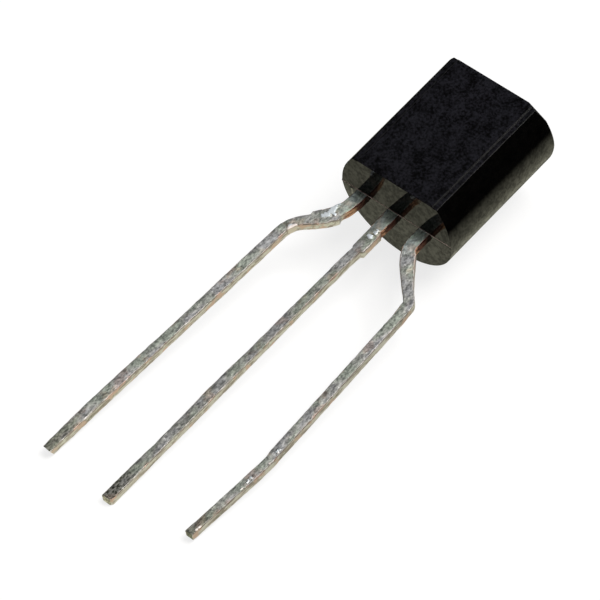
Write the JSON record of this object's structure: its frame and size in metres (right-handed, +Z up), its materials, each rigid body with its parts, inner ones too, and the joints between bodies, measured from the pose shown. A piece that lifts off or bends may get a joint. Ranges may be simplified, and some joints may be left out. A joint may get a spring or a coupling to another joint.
{
  "type": "to-92 transistor",
  "caption": "Small-signal transistor: D-shaped black moulded case on three flat tinned leads, the outer two formed outwards to a wide pitch.",
  "frame": {"origin": "on the surface the part lies on, at the middle of its bounding box", "axes": "+Z up; the legs point along -Y, sloping down to their tips; +X from the left lead to the right lead, with the flat face up; the body's own axes are turned 7.86 degrees about X from these"},
  "size_m": [0.006, 0.0188, 0.0044],
  "materials": {
    "epoxy": "satin",
    "tinned_copper": "satin",
    "silicon": "gloss",
    "solder": "satin",
    "gold": "gloss"
  },
  "bodies": {
    "root": {"case": "epoxy", "left_lead": "tinned_copper", "centre_lead": "tinned_copper", "right_lead": "tinned_copper", "die": "silicon", "die_attach": "solder", "left_bond_wire": "gold", "right_bond_wire": "gold"}
  },
  "joints": []
}
